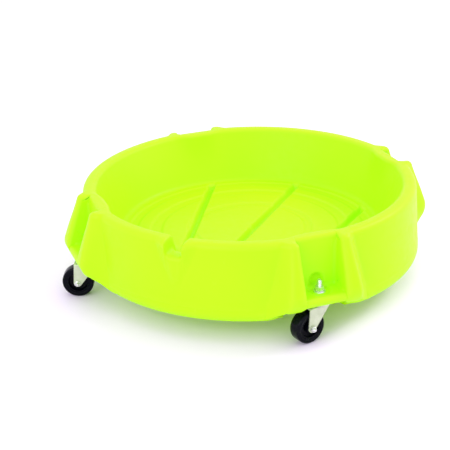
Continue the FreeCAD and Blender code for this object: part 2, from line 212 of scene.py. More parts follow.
NEARLY_STRAIGHT, STRAIGHT_REACH = 1e-3, 0.3
TANGENT = 60.0    # how far along a straight its direction is taken


def soft_step(x):
    """0 to 1, smooth at both ends."""
    t = np.clip(x, 0.0, 1.0)
    return t * t * (3 - 2 * t)


def soft_max(a, b, width):
    """The larger of two, with the corner between them rounded."""
    near = np.maximum(width - np.abs(a - b), 0.0) / width
    return np.maximum(a, b) + near * near * width / 4


def soft_min(a, b, width):
    """The smaller of two, with the corner between them rounded."""
    return -soft_max(-a, -b, width)


def wall_radius(z):
    """The outer wall's radius at a level."""
    share = (RIM_TOP - z) / (RIM_TOP - BASE_Z)
    return RIM_RADIUS + RIM_HALF + (FOOT_RADIUS - RIM_RADIUS - RIM_HALF) * share


def pocket_half(z):
    """Half the width of a pocket at a level."""
    return POCKET_HALF - POCKET_NARROWING * (RIM_TOP - max(z, LEDGE_Z))


def ridge_half(z):
    """Half the width of a block's face at a level."""
    return min(RIDGE_TOP + RIDGE_SPREAD * (RIM_TOP - z), RIDGE_MOST)


def root_half(z):
    """Half the width of a block where its flanks meet the wall."""
    return ROOT_TOP + ROOT_SPREAD * (RIM_TOP - z)


def sideways(u, z):
    """Where a block's column, named by its place at the rim, lies sideways at a level."""
    half = pocket_half(z)
    names = [0, POCKET_HALF - POCKET_FILLET, POCKET_HALF, POCKET_HALF + LIP_ROUND]
    names += [RIDGE_TOP, ROOT_TOP, SECTOR_HALF]
    places = [0, half - POCKET_FILLET, half, half + LIP_ROUND]
    places += [ridge_half(z), root_half(z), SECTOR_HALF]
    return math.copysign(np.interp(abs(u), names, places), u)


def face_table():
    """How far out a block's face reaches at each whole level, with its bends softened."""
    levels = np.arange(FACE_LEVELS[0], FACE_LEVELS[-1] + 1)
    reach = np.interp(levels, FACE_LEVELS, FACE_REACH)
    bell = np.exp(-0.5 * (np.arange(-BELL_REACH, BELL_REACH + 1) / FACE_SOFTNESS) ** 2)
    wide = np.pad(reach, BELL_REACH, mode="reflect", reflect_type="odd")
    return levels, np.convolve(wide, bell / bell.sum(), mode="valid")


FACE_TABLE = face_table()


def block_reach(u, z):
    """How far out a block's outside lies for a column at a level."""
    y = abs(sideways(u, z))
    ridge, root = ridge_half(z), root_half(z)
    face = np.interp(z, *FACE_TABLE)
    slope = face - (face - BLOCK_BACK) * (y - ridge) / (root - ridge)
    circle = math.sqrt(wall_radius(z) ** 2 - y * y)
    return float(soft_max(circle, soft_min(face, slope, RIDGE_ROUND), ROOT_ROUND))


def neck_top(u):
    """The level of a block's underside: high over the fork, lower under the flanks."""
    away = abs(sideways(u, NECK_TOP)) - NECK_HALF
    return BLOCK_FOOT + (NECK_TOP - BLOCK_FOOT) * (1 - float(soft_step(away / NECK_EASE + 0.5)))


def outer_radius(u, z):
    """How far a block's outside lies from the tray's axis for a column at a level."""
    return math.hypot(block_reach(u, z), sideways(u, z))


def arc_points(before, corner, after, radius, steps):
    """Points round the rounded corner between two straights."""
    before, corner, after = Vector(before), Vector(corner), Vector(after)
    into, out = (corner - before).normalized(), (after - corner).normalized()
    turn = into.angle(out, 0.0)
    if turn < NEARLY_STRAIGHT:
        start, end = corner - into * radius * STRAIGHT_REACH, corner + out * radius * STRAIGHT_REACH
        return [start.lerp(end, step / steps) for step in range(steps + 1)]
    back = radius * math.tan(turn / 2)
    inward = (out - into).normalized()
    centre = corner + inward * (radius / math.cos(turn / 2))
    start, end = corner - into * back - centre, corner + out * back - centre
    side = 1 if into.x * out.y - into.y * out.x > 0 else -1
    points = []
    for step in range(steps + 1):
        angle = side * turn * step / steps
        c, s = math.cos(angle), math.sin(angle)
        points.append(centre + Vector((start.x * c - start.y * s, start.x * s + start.y * c)))
    return points


def eased(before, corner, after, reach):
    """Points along a gentle curve past a corner, from one straight to the next."""
    before, corner, after = Vector(before), Vector(corner), Vector(after)
    start = corner + (before - corner).normalized() * reach
    end = corner + (after - corner).normalized() * reach
    shares = [step / ARC for step in range(ARC + 1)]
    return [start.lerp(corner, share).lerp(corner.lerp(end, share), share) for share in shares]


def spread(start, end, steps):
    """Points between two ends, the ends left out."""
    return [Vector(start).lerp(Vector(end), step / steps) for step in range(1, steps)]


def column_inside(u):
    """From the floor's edge up the inner wall and over the rim's inner shoulder, as (radius, level)."""
    near = float(soft_step((BULGE_SPREAD - abs(u)) / BULGE_SPREAD * BULGE_FLAT))
    shoulder = RIM_RADIUS - RIM_HALF
    top = shoulder - (shoulder - BULGE_REACH) * near
    away = (abs(u) - INNER_ROUND_FROM) / INNER_ROUND_SPREAD
    radius = INNER_ROUND + INNER_ROUND_MORE * float(soft_step(away))
    slope = (shoulder - FLOOR_RADIUS) / (RIM_TOP - FLOOR_Z)
    knee = (FLOOR_RADIUS + slope * (BULGE_FOOT - FLOOR_Z), BULGE_FOOT)
    foot, crest = (FLOOR_RADIUS, FLOOR_Z), (top, RIM_TOP)
    fillet = arc_points((0.0, FLOOR_Z), foot, knee, FLOOR_FILLET, ARC)
    bend = eased(foot, knee, crest, BULGE_EASE)
    shoulder_arc = arc_points(knee, crest, (top + TANGENT, RIM_TOP), radius, ARC + 1)
    return (fillet + spread(fillet[-1], bend[0], LIFT_STEPS) + bend
            + spread(bend[-1], shoulder_arc[0], LIFT_STEPS) + shoulder_arc)


def pocket_outside(u, start):
    """From the rim's top down a pocket's back wall and over its ledge to the apron, as (x, level)."""
    rim, heel = (POCKET_RIM, RIM_TOP), (POCKET_BACK, LEDGE_Z)
    lip = (LIP_REACH, LEDGE_Z)
    below = (block_reach(u, APRON_TOP), APRON_TOP)
    top = arc_points(start, rim, heel, POCKET_RIM_ROUND, ARC)
    corner = arc_points(rim, heel, lip, HEEL_ROUND, ARC)
    front = arc_points(heel, lip, below, LEDGE_ROUND, ARC)
    return (spread(start, top[0], FLAT_STEPS) + top
            + spread(top[-1], corner[0], FACE_STEPS * 2) + corner
            + spread(corner[-1], front[0], LEDGE_STEPS) + front)


def block_outside(u, start):
    """From the rim's top down a block's outside to the apron, as (radius, level)."""
    face = (outer_radius(u, RIM_TOP - SHOULDER_DROP), RIM_TOP - SHOULDER_DROP)
    shoulder = arc_points(start, (outer_radius(u, RIM_TOP), RIM_TOP), face, SHOULDER_ROUND, ARC)
    levels = []
    end = shoulder[-1].y
    for step in range(1, FACE_ROWS + 1):
        z = end + (FACE_FOOT - end) * step / FACE_ROWS
        levels.append(Vector((outer_radius(u, z), z)))
    return spread(start, shoulder[0], FLAT_STEPS) + shoulder + levels


def shifted(path, weights, distance):
    """A path moved along its own left-hand side, by a share at each point."""
    moved = []
    last = len(path) - 1
    for index, point in enumerate(path):
        along = (path[min(index + 1, last)] - path[max(index - 1, 0)]).normalized()
        moved.append(point + Vector((-along.y, along.x)) * distance * weights[index])
    return moved


def pocket_weights(path):
    """Where the fillet along a pocket's side wall is at work: on the back wall and the ledge."""
    first = FLAT_STEPS + ARC
    last = len(path) - ARC - 2
    rows = np.arange(len(path))
    return (soft_step((rows - first) / FADE_IN) * soft_step((last - rows) / FADE_OUT)).tolist()


def block_weights(path):
    """Where the rounding along a pocket's outer edge is at work: on the block's top and face."""
    out = [soft_step((p.x - POCKET_RIM) / EDGE_EASE) for p in path]
    up = [soft_step((p.y - EDGE_FOOT) / EDGE_EASE) for p in path]
    return [float(a * b) for a, b in zip(out, up)]


def resampled(path, distances):
    """Points at given distances along a path."""
    points = np.array([(p.x, p.y) for p in path])
    steps = np.hypot(*np.diff(points, axis=0).T)
    along = np.concatenate([[0.0], np.cumsum(steps)])
    across, up = points.T
    return [Vector((np.interp(d, along, across), np.interp(d, along, up))) for d in distances]


def length(path):
    """How long a path is."""
    return sum((b - a).length for a, b in zip(path, path[1:]))


def foot_profile():
    """The wall's rounded foot and its start on the base, as (radius, level)."""
    top = (wall_radius(APRON_TOP), APRON_TOP)
    return [Vector(top)] + arc_points(top, (FOOT_RADIUS, BASE_Z), (0, BASE_Z), FOOT_EDGE, ARC * 4)


def well_inset(u):
    """How far the foot draws back where it turns into a wheel well's side."""
    if u is None:
        return 0.0
    past = abs(sideways(u, BLOCK_FOOT)) - WELL_RADIUS * math.sin(math.radians(WELL_SWING))
    near = max(WELL_CORNER - past, 0.0)
    return WELL_CORNER - math.sqrt(WELL_CORNER ** 2 - near * near)


def side_underside(u):
    """From the apron down and under the plain wall or a block's side, as (radius, level)."""
    profile = foot_profile()
    levels, radii = [p.y for p in profile[::-1]], [p.x for p in profile[::-1]]
    foot = BLOCK_FOOT
    if u is not None:
        past = (abs(u) - RIDGE_TOP) / (ROOT_TOP - RIDGE_TOP)
        foot -= (BLOCK_FOOT - ROOT_FOOT) * float(np.clip(past, 0.0, 1.0))

    def wall_at(z):
        return float(np.interp(z, levels, radii))

    def reach(z):
        return wall_at(z) if u is None else outer_radius(u, z) - wall_radius(z) + wall_at(z)

    shy = well_inset(u)
    inner = wall_at(foot) - shy
    corner = (max(reach(foot), inner + LEAST_LEDGE), foot)
    drop = APRON_TOP - foot - APRON_FOOT
    stops = [APRON_TOP - drop * step / APRON_STOPS for step in range(APRON_STOPS + 1)]
    apron = [Vector((reach(z), z)) for z in stops]
    radius = min(FOOT_ROUND, (corner[0] - inner) / 2)
    edge = arc_points(apron[-1], corner, (inner, foot), radius, ARC)
    inward = [edge[-1], Vector((inner, foot))]
    rest = [Vector((p.x - shy, p.y)) for p in profile if p.y < foot - FOOT_GAP]
    whole = apron + edge + inward[1:] + rest
    parts = [length(apron + edge[:1]), length(edge), length(inward), length(inward[1:] + rest)]
    counts = [APRON_STEPS, ARC, CEILING_STEPS, ARC + WELL_STEPS + ARC]
    total = length(whole)
    own, start = [], 0.0
    for part, count in zip(parts, counts):
        own += [start + part * step / count for step in range(1, count + 1)]
        start += part
    even = [total * step / UNDER_ROWS for step in range(1, UNDER_ROWS + 1)]
    blend = 1.0 if u is None else float(soft_step((abs(u) - EVEN_FROM) / EVEN_SPREAD))
    return resampled(whole, [a + (b - a) * blend for a, b in zip(own, even)])


def well_underside(u):
    """From the apron down, along a wheel well's ceiling and down the well's wall, as (x, y, level)."""
    top = neck_top(u)
    drop = APRON_TOP - top - WELL_EDGE
    levels = [APRON_TOP - drop * step / APRON_STEPS for step in range(1, APRON_STEPS + 1)]
    points = [(block_reach(u, z), sideways(u, z), z) for z in levels]
    out = Vector((block_reach(u, top), sideways(u, top)))
    swing = math.radians(WELL_SWING * u / RIDGE_TOP)
    end = Vector((STEM_CIRCLE - WELL_RADIUS * math.cos(swing), WELL_RADIUS * math.sin(swing)))
    span = (out - end).length
    edge = arc_points((0.0, APRON_TOP), (0.0, top), (span, top), FOOT_ROUND, ARC)
    heel = arc_points((0.0, top), (span, top), (span, BASE_Z), WELL_HEEL, ARC)
    line = edge[1:] + spread(edge[-1], heel[0], CEILING_STEPS) + heel
    points += [(*out.lerp(end, p.x / span), p.y) for p in line]
    toe = arc_points((0.0, top), (0.0, BASE_Z), (TANGENT, BASE_Z), FOOT_ROUND, ARC)
    fall = [Vector((0.0, z)) for z in np.linspace(heel[-1].y, toe[0].y, WELL_STEPS + 1)[1:-1]]
    for p in fall + toe:
        place = end - end.normalized() * p.x
        points.append((place.x, place.y, p.y))
    return points


def radial_factor(u, radius):
    """How far a block's column leans from straight outwards to radial."""
    if radius < RIM_RADIUS:
        return radius / RIM_RADIUS
    return (radius / RIM_RADIUS) ** float(soft_step((abs(u) - FAN_FROM) / (SECTOR_HALF - FAN_FROM)))


def fanned(u, radius, z):
    """A point of a block's column from its distance to the tray's axis."""
    y = sideways(u, z) * radial_factor(u, radius)
    return (math.sqrt(radius * radius - y * y), y, z)


def in_niche(point, y):
    """Presses a point of a pocket into the nut's seat and the arched niche behind it."""
    if point.y < LEDGE_Z + SEAT_SKIN and point.x < LIP_REACH - SEAT_CLEAR:
        near = NICHE_RADIUS + SEAT_SKIN - math.hypot(point.x - STEM_CIRCLE, y)
        point = Vector((point.x, point.y - (LEDGE_Z - NUT_SEAT) * float(soft_step(near / SEAT_EASE))))
    deep = math.sqrt(max(NICHE_RADIUS ** 2 - y * y, 0.0)) - (STEM_CIRCLE - POCKET_BACK)
    half = math.sqrt(NICHE_RADIUS ** 2 - (STEM_CIRCLE - POCKET_BACK) ** 2)
    arch = LEDGE_Z + NICHE_HEIGHT - half
    away = math.hypot(y, max(point.y - arch, 0.0))
    if deep <= 0 or point.x > POCKET_BACK + NICHE_SKIN:
        return point
    share = float(soft_step((half + NICHE_WIDER - away) / NICHE_EASE))
    return Vector((point.x - deep * share, point.y))


def block_column(u, kind, offset, inner):
    """A column of a caster block, in the block's frame, with its own place on the inner wall."""
    inside = column_inside(inner)
    tilt = math.asin(inner / RIM_RADIUS)
    points = [(p.x * math.cos(tilt), p.x * math.sin(tilt), p.y) for p in inside]
    start = inside[-1]
    if kind == "pocket":
        begin = Vector((start.x * math.cos(tilt), start.y))
        path = pocket_outside(u, begin)
        path = shifted(path, pocket_weights(path), offset)
        path = [in_niche(p, sideways(u, p.y)) for p in path]
        path = [Vector((math.hypot(p.x, sideways(u, p.y)), p.y)) for p in path]
    else:
        path = block_outside(u, start)
        path = shifted(path, block_weights(path), offset)
    points += [fanned(u, p.x, p.y) for p in path]
    if abs(u) <= RIDGE_TOP:
        points += well_underside(u)
    else:
        points += [fanned(u, p.x, p.y) for p in side_underside(u)]
    return points


def plain_column():
    """A column of the plain wall, as (radius, level)."""
    inside = column_inside(SECTOR_HALF)
    start = inside[-1]
    face = (wall_radius(RIM_TOP - SHOULDER_DROP), RIM_TOP - SHOULDER_DROP)
    shoulder = arc_points(start, (wall_radius(RIM_TOP), RIM_TOP), face, SHOULDER_ROUND, ARC)
    stops = np.linspace(shoulder[-1].y, FACE_FOOT, FACE_ROWS + 1)[1:]
    levels = [Vector((wall_radius(z), z)) for z in stops]
    return inside + spread(start, shoulder[0], FLAT_STEPS) + shoulder + levels + side_underside(None)


def half_block():
    """Half a caster block's columns: place at the rim, kind, fillet offset and place on the inner wall."""
    flat = POCKET_HALF - POCKET_FILLET
    columns = [(flat * step / POCKET_COLUMNS, "pocket", 0.0) for step in range(POCKET_COLUMNS + 1)]
    for turn in (30, 60, 90):
        t = math.radians(turn)
        columns.append((flat + POCKET_FILLET * math.sin(t), "pocket", POCKET_FILLET * (1 - math.cos(t))))
    columns.append((POCKET_HALF, "pocket", POCKET_FILLET + FILLET_PAST))
    columns.append((POCKET_HALF, "block", -LIP_ROUND - LIP_PAST))
    for turn in (0, 30, 60, 90):
        t = math.radians(turn)
        place = POCKET_HALF + LIP_ROUND * (1 - math.cos(t))
        columns.append((place, "block", -LIP_ROUND * (1 - math.sin(t))))
    columns += [(u, "block", 0.0) for u in FACE_COLUMNS]
    columns += [(RIDGE_TOP + step, "block", 0.0) for step in FLANK_COLUMNS]
    columns += [(u, "block", 0.0) for u in np.linspace(WALL_FROM, SECTOR_HALF, WALL_COLUMNS)]
    inner = np.array([u for u, kind, offset in columns])
    for turn in range(INNER_EVENING):
        inner[1:-1] = (inner[:-2] + 2 * inner[1:-1] + inner[2:]) / 4
    return [(*column, float(place)) for column, place in zip(columns, inner)]


def floor_depth(x, y):
    """How deep the floor's grooves are at places on it."""
    r = np.hypot(x, y)
    depths = [GROOVE_DEPTH * soft_step(np.minimum(r - low, high - r) / GROOVE_SIDE) for low, high in RINGS]
    for place, direction in DRAINS:
        t = math.radians(direction)
        across = np.abs((x - place) * math.sin(t) - y * math.cos(t))
        depths.append(DRAIN_DEPTH * soft_step(np.minimum(DRAIN_HALF - across, DRAIN_REACH - r) / DRAIN_SIDE))
    return np.max(depths, axis=0)


def floor_radii():
    """The floor's rows: close together across each ring groove's sides."""
    stops = [FLOOR_MIDDLE]
    for low, high in RINGS:
        stops += [low, low + GROOVE_SIDE, high - GROOVE_SIDE, high]
    stops.append(FLOOR_RADIUS - FLOOR_FILLET)
    radii = []
    for low, high in zip(stops, stops[1:]):
        count = GROOVE_STEPS if high - low <= GROOVE_SIDE else max(2, round((high - low) / FLOOR_SPACING))
        radii += [low + (high - low) * step / count for step in range(count)]
    return radii + [stops[-1]]


def spout_crest(y):
    """The rim's height across the pouring notch."""
    y = np.abs(y)
    past = np.clip((y - NOTCH_HALF + NOTCH_ROUND) / NOTCH_ROUND, 0.0, 1.0)
    bowl = NOTCH_BOTTOM + NOTCH_ROUND * (1 - np.sqrt(1 - past * past))
    side = NOTCH_BOTTOM + NOTCH_ROUND + (y - NOTCH_HALF) * NOTCH_SLOPE
    end = NOTCH_HALF + NOTCH_LIP_END
    lip = RIM_TOP - NOTCH_LIP + NOTCH_LIP * np.sqrt(np.clip(1 - ((end - y) / NOTCH_LIP) ** 2, 0.0, 1.0))
    flank = np.minimum(side, np.where(y < NOTCH_HALF + NOTCH_STEEP, side, lip))
    crest = np.where(y < NOTCH_HALF - NOTCH_EDGE, bowl, flank)
    return np.where(y >= end, RIM_TOP, crest)


def with_spout(points, outer_rows):
    """Lowers the rim into the pouring notch, thins the wall there and pushes it out into a beak below."""
    x, y, z = points[..., 0], points[..., 1], points[..., 2]
    turn = math.radians(-SPOUT_ANGLE)
    out = x * math.cos(turn) - y * math.sin(turn)
    side = x * math.sin(turn) + y * math.cos(turn)
    near = (out > RIM_RADIUS * SPOUT_NEAR) & (np.abs(side) < SPOUT_SPREAD)
    crest = spout_crest(side)
    share = (crest - NOTCH_REACH) / (RIM_TOP - NOTCH_REACH)
    z[:] = np.where(near & (z > NOTCH_REACH), NOTCH_REACH + (z - NOTCH_REACH) * share, z)
    up = np.clip((z - BEAK_FOOT) / (RIM_TOP - BEAK_FOOT), 0.0, 1.0)
    nose = BEAK_NOSE + BEAK_NOSE_MORE * up
    root = BEAK_ROOT + BEAK_ROOT_MORE * up
    bump = BEAK_OUT * up * (1 - soft_step((np.abs(side) - nose) / (root - nose)))
    slim = NOTCH_SLIM * soft_step((z - NOTCH_REACH) / SLIM_RISE)
    slim = slim * (1 - soft_step((np.abs(side) - SLIM_HALF) / SLIM_EASE))
    push = np.where(near, bump * outer_rows + slim * (1 - outer_rows), 0.0)
    radius = np.hypot(x, y)
    grown = 1 + push / np.maximum(radius, 1.0)
    x[:] = x * grown
    y[:] = y * grown
    return points


def tray_grid():
    """Every point of the tray's walls and underside, by column and row, and each column's direction."""
    stems = [joint["pos_m"] for joint in frame["joints"] if joint["parent"] == "root"]
    block_angles = sorted(math.degrees(math.atan2(place[1], place[0])) for place in stems)
    half = half_block()
    whole = [(-u, kind, offset, -inner) for u, kind, offset, inner in reversed(half[1:])] + half
    sector = [block_column(*column) for column in whole]
    plain = plain_column()
    edge = math.degrees(math.asin(SECTOR_HALF / RIM_RADIUS))
    columns, angles = [], []
    for index, angle in enumerate(block_angles):
        turn = math.radians(angle)
        c, s = math.cos(turn), math.sin(turn)
        for points in sector:
            columns.append([(x * c - y * s, x * s + y * c, z) for x, y, z in points])
            angles.append(turn + math.atan2(points[0][1], points[0][0]))
        start, end = angle + edge, block_angles[(index + 1) % len(block_angles)] - edge
        end += 360 if end < start else 0
        gap = list(np.linspace(start, end, GAP_COLUMNS)[1:-1])
        if start < SPOUT_ANGLE < end:
            gap = spout_angles(start, end)
        for theta in gap:
            t = math.radians(theta)
            columns.append([(p.x * math.cos(t), p.x * math.sin(t), p.y) for p in plain])
            angles.append(t)
    return np.array(columns), np.array(angles)


def spout_angles(start, end):
    """Columns across the gap that holds the spout, close together at the notch."""
    sides = [NOTCH_HALF * math.sin(math.radians(t)) for t in range(0, 80, 9)]
    sides += [NOTCH_HALF + step for step in SPOUT_COLUMNS]
    offsets = [math.degrees(math.asin(s / RIM_RADIUS)) for s in sides]
    offsets = [-o for o in reversed(offsets[1:])] + offsets
    left = list(np.linspace(start, SPOUT_ANGLE + offsets[0], SPOUT_GAP_COLUMNS)[1:-1])
    right = list(np.linspace(SPOUT_ANGLE + offsets[-1], end, SPOUT_GAP_COLUMNS)[1:-1])
    return left + [SPOUT_ANGLE + o for o in offsets] + right


def tray_mesh():
    """The tray's whole skin as one closed mesh."""
    wall, angles = tray_grid()
    inside_rows = len(column_inside(0.0))
    rows = wall.shape[1]
    outer = np.zeros(rows)
    outer[inside_rows:] = soft_step(np.arange(rows - inside_rows) / (FLAT_STEPS + ARC))
    wall = with_spout(wall, outer)
    radii = np.array(floor_radii())
    fx = np.cos(angles)[:, None] * radii
    fy = np.sin(angles)[:, None] * radii
    floor = np.stack([fx, fy, FLOOR_Z - floor_depth(fx, fy)], axis=-1)
    share = 1 - np.arange(1, BASE_STEPS) / BASE_STEPS
    last = wall[:, -1:, :2] * share[None, :, None]
    base = np.concatenate([last, np.full(last.shape[:2] + (1,), BASE_Z)], axis=-1)
    grid = np.concatenate([floor, wall, base], axis=1)
    count, rows = grid.shape[:2]
    points = grid.reshape(-1, 3)
    index = np.arange(count * rows).reshape(count, rows)
    after = np.roll(index, -1, axis=0)
    corners = [index[:, 1:], after[:, 1:], after[:, :-1], index[:, :-1]]
    quads = np.stack(corners, axis=-1).reshape(-1, 4)
    middle, under = len(points), len(points) + 1
    middle_z = FLOOR_Z - float(floor_depth(np.zeros(1), np.zeros(1))[0])
    points = np.vstack([points, [[0, 0, middle_z], [0, 0, BASE_Z]]])
    fans = [(middle, int(a), int(b)) for a, b in zip(index[:, 0], after[:, 0])]
    fans += [(under, int(b), int(a)) for a, b in zip(index[:, -1], after[:, -1])]
    mesh = bpy.data.meshes.new("tray_skin")
    mesh.from_pydata((points * MM).tolist(), [], quads.tolist() + fans)
    mesh.polygons.foreach_set("use_smooth", np.ones(len(mesh.polygons), bool))
    mesh.update()
    return mesh, (count, rows)


# ---- materials ----
def new_material(name):
    """An empty node material with its Principled shader joined to the output."""
    material = bpy.data.materials.new(name)
    material.use_nodes = True
    tree = material.node_tree
    tree.nodes.clear()
    shader = tree.nodes.new("ShaderNodeBsdfPrincipled")
    output = tree.nodes.new("ShaderNodeOutputMaterial")
    tree.links.new(shader.outputs["BSDF"], output.inputs["Surface"])
    return material, tree, shader


def noise(tree, scale, detail=4.0, roughness=0.5):
    """Solid noise in the object's own metres."""
    place = tree.nodes.new("ShaderNodeTexCoord")
    made = tree.nodes.new("ShaderNodeTexNoise")
    made.inputs["Scale"].default_value = scale
    made.inputs["Detail"].default_value = detail
    made.inputs["Roughness"].default_value = roughness
    tree.links.new(place.outputs["Object"], made.inputs["Vector"])
    return made.outputs["Fac"]


def ramp(tree, source, low, high, start, end):
    """A value read from one range into another."""
    made = tree.nodes.new("ShaderNodeMapRange")
    made.inputs["From Min"].default_value = low
    made.inputs["From Max"].default_value = high
    made.inputs["To Min"].default_value = start
    made.inputs["To Max"].default_value = end
    tree.links.new(source, made.inputs["Value"])
    return made.outputs["Result"]


def mix(tree, share, first, second):
    """A mix of two colours, each a colour or another node's output."""
    made = tree.nodes.new("ShaderNodeMix")
    made.data_type = "RGBA"
    tree.links.new(share, made.inputs["Factor"])
    for socket, value in (("A", first), ("B", second)):
        target = [i for i in made.inputs if i.name == socket and i.type == "RGBA"][0]
        if isinstance(value, tuple):
            target.default_value = (*value, 1.0)
        else:
            tree.links.new(value, target)
    return [o for o in made.outputs if o.type == "RGBA"][0]


def bumped(tree, shader, layers):
    """Joins layers of (height, strength, distance) to the shader's normal."""
    normal = None
    for height, strength, distance in layers:
        made = tree.nodes.new("ShaderNodeBump")
        made.inputs["Strength"].default_value = strength
        made.inputs["Distance"].default_value = distance
        tree.links.new(height, made.inputs["Height"])
        if normal:
            tree.links.new(normal, made.inputs["Normal"])
        normal = made.outputs["Normal"]
    tree.links.new(normal, shader.inputs["Normal"])


def attribute(tree, name):
    """A value that each of the mesh's points carries."""
    made = tree.nodes.new("ShaderNodeAttribute")
    made.attribute_name = name
    return made.outputs["Fac"]


def times(tree, first, second):
    """The product of two values, each a number or another node's output."""
    made = tree.nodes.new("ShaderNodeMath")
    made.operation = "MULTIPLY"
    for socket, value in zip(made.inputs, (first, second)):
        if isinstance(value, float):
            socket.default_value = value
        else:
            tree.links.new(value, socket)
    return made.outputs[0]


def scratches(tree, stretch, scale):
    """Fine lines that run along one of the object's axes."""
    place = tree.nodes.new("ShaderNodeTexCoord")
    turned = tree.nodes.new("ShaderNodeMapping")
    turned.inputs["Scale"].default_value = stretch
    turned.inputs["Rotation"].default_value = (0.3, 0.5, 0.9)
    made = tree.nodes.new("ShaderNodeTexNoise")
    made.inputs["Scale"].default_value = scale
    made.inputs["Detail"].default_value = 5.0
    tree.links.new(place.outputs["Object"], turned.inputs["Vector"])
    tree.links.new(turned.outputs["Vector"], made.inputs["Vector"])
    return made.outputs["Fac"]


def cells(tree, scale):
    """Small flat cells, such as the crystals of a zinc coat."""
    place = tree.nodes.new("ShaderNodeTexCoord")
    made = tree.nodes.new("ShaderNodeTexVoronoi")
    made.inputs["Scale"].default_value = scale
    tree.links.new(place.outputs["Object"], made.inputs["Vector"])
    return made.outputs["Distance"]


def tray_material():
    """Rotationally moulded lime polyethylene: satin, faintly clouded, paler on its worn edges, with painted
    shade in its creases and drains and a painted glow that lifts its shade.
    """
    material, tree, shader = new_material("tray_polyethylene")
    cloud = noise(tree, 6.0, 3.0)
    speckle = noise(tree, 900.0, 2.0)
    worn = attribute(tree, "worn")
    hollow = attribute(tree, "hollow")
    scuff = ramp(tree, scratches(tree, (1.0, 9.0, 1.0), 30.0), 0.66, 0.74, 0.0, 1.0)
    colour = mix(tree, ramp(tree, cloud, 0.3, 0.7, 0.0, 1.0), TRAY_DEEP, TRAY_LIME)
    colour = mix(tree, ramp(tree, speckle, 0.35, 0.65, 0.0, 0.10), colour, TRAY_SPECK)
    colour = mix(tree, times(tree, worn, 0.12), colour, TRAY_WORN)
    colour = mix(tree, times(tree, scuff, 0.10), colour, TRAY_WORN)
    # Painted shade: darker green in the creases and drains.
    colour = mix(tree, times(tree, hollow, 0.5), colour, TRAY_PAINTED_SHADE)
    tree.links.new(colour, shader.inputs["Base Color"])
    # Painted glow: the tray's colour is also given off as light, lifting its shade in the corners.
    tree.links.new(colour, shader.inputs["Emission Color"])
    shader.inputs["Emission Strength"].default_value = TRAY_PAINTED_GLOW
    shader.inputs["Specular IOR Level"].default_value = 0.14
    grain = noise(tree, 60.0, 6.0, 0.6)
    tree.links.new(ramp(tree, grain, 0.3, 0.7, 0.38, 0.52), shader.inputs["Roughness"])
    peel = noise(tree, 330.0, 3.0)
    bumped(tree, shader, [(cloud, 0.12, 0.004), (peel, 0.22, 0.0006), (scuff, 0.10, 0.0004)])
    return material


def zinc_material(name, pale, dull, metallic, roughness, crystal):
    """Zinc-plated steel: faint crystals, rolling lines and duller patches."""
    material, tree, shader = new_material(name)
    patch = noise(tree, 55.0, 4.0)
    grown = cells(tree, crystal)
    lines = scratches(tree, (1.0, 1.0, 14.0), 220.0)
    colour = mix(tree, ramp(tree, patch, 0.35, 0.65, 0.0, 1.0), pale, dull)
    colour = mix(tree, ramp(tree, grown, 0.1, 0.7, 0.0, 0.25), colour, dull)
    colour = mix(tree, ramp(tree, lines, 0.62, 0.70, 0.0, 0.3), colour, ZINC_LINE)
    tree.links.new(colour, shader.inputs["Base Color"])
    shader.inputs["Metallic"].default_value = metallic
    satin = ramp(tree, patch, 0.3, 0.7, roughness * 0.75, roughness * 1.3)
    tree.links.new(satin, shader.inputs["Roughness"])
    bumped(tree, shader, [(lines, 0.15, 0.0002), (grown, 0.10, 0.0002)])
    return material


def black_material(name, deep, dusty, roughness, grain_scale, coat):
    """Moulded black plastic or rubber, with a little dust and fine wear."""
    material, tree, shader = new_material(name)
    dust = noise(tree, 38.0, 6.0, 0.65)
    grain = noise(tree, grain_scale, 3.0)
    rubbed = scratches(tree, (1.0, 7.0, 7.0), 120.0)
    colour = mix(tree, ramp(tree, dust, 0.52, 0.80, 0.0, 0.5), deep, dusty)
    colour = mix(tree, ramp(tree, rubbed, 0.64, 0.72, 0.0, 0.35), colour, dusty)
    tree.links.new(colour, shader.inputs["Base Color"])
    satin = ramp(tree, dust, 0.3, 0.7, roughness * 0.8, roughness * 1.3)
    tree.links.new(satin, shader.inputs["Roughness"])
    shader.inputs["Specular IOR Level"].default_value = 0.06
    shader.inputs["Coat Weight"].default_value = coat
    shader.inputs["Coat Roughness"].default_value = 0.12
    bumped(tree, shader, [(grain, 0.2, 0.0003), (rubbed, 0.12, 0.0002)])
    return material


